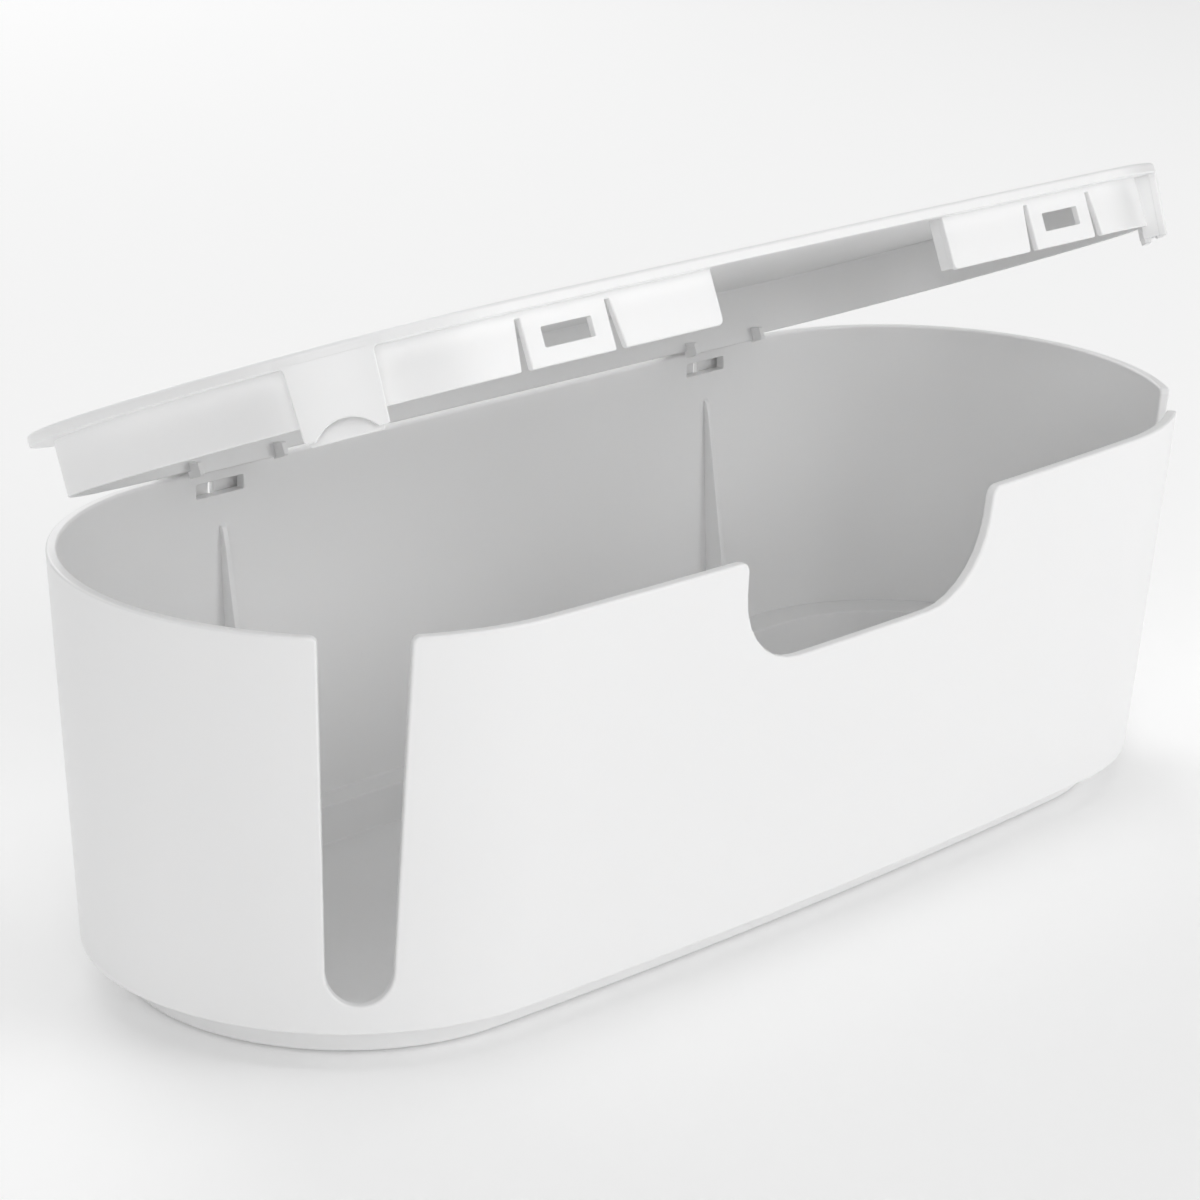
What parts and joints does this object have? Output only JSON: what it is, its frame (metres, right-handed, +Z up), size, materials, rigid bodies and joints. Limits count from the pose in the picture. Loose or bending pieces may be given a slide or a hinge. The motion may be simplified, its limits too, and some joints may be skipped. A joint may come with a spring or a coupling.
{
  "type": "cable management box",
  "caption": "Long rounded cable box: a deep tub with a tall slot at each front corner and a wide front opening, under a lid with slot covers and latch fingers on a lift and tilt hinge.",
  "frame": {"origin": "centre of the rectangle round the box, on the plane the rubber feet stand on", "axes": "+X along the box to the right as seen from the front, +Y to the rear where the hinge is, +Z up"},
  "size_m": [0.4, 0.1683, 0.2006],
  "materials": {
    "tub_plastic": "moulded white plastic with a soft sheen",
    "lid_plastic": "moulded white plastic with a soft sheen",
    "arm_plastic": "moulded white plastic",
    "pin_steel": "drawn wire",
    "foot_rubber": "dull black rubber"
  },
  "bodies": {
    "tub": {"tub_shell": "tub_plastic", "rubber_foot_front_left": "foot_rubber", "rubber_foot_front_right": "foot_rubber", "rubber_foot_rear_left": "foot_rubber", "rubber_foot_rear_right": "foot_rubber"},
    "hinge_carriage": {"hinge_arm_left": "arm_plastic", "hinge_arm_right": "arm_plastic", "hinge_pin_left": "pin_steel", "hinge_pin_right": "pin_steel"},
    "lid": {"lid_shell": "lid_plastic"}
  },
  "joints": [
    {"name": "arm_lower", "type": "slide", "parent": "tub", "child": "hinge_carriage", "axis": [0, 0, -1], "range_m": [0, 0.0136]},
    {"name": "lid_tilt", "type": "hinge", "parent": "hinge_carriage", "child": "lid", "pos_m": [0, 0.078, 0.1266], "axis": [1, 0, 0], "range_deg": [-70, 23.2]}
  ]
}
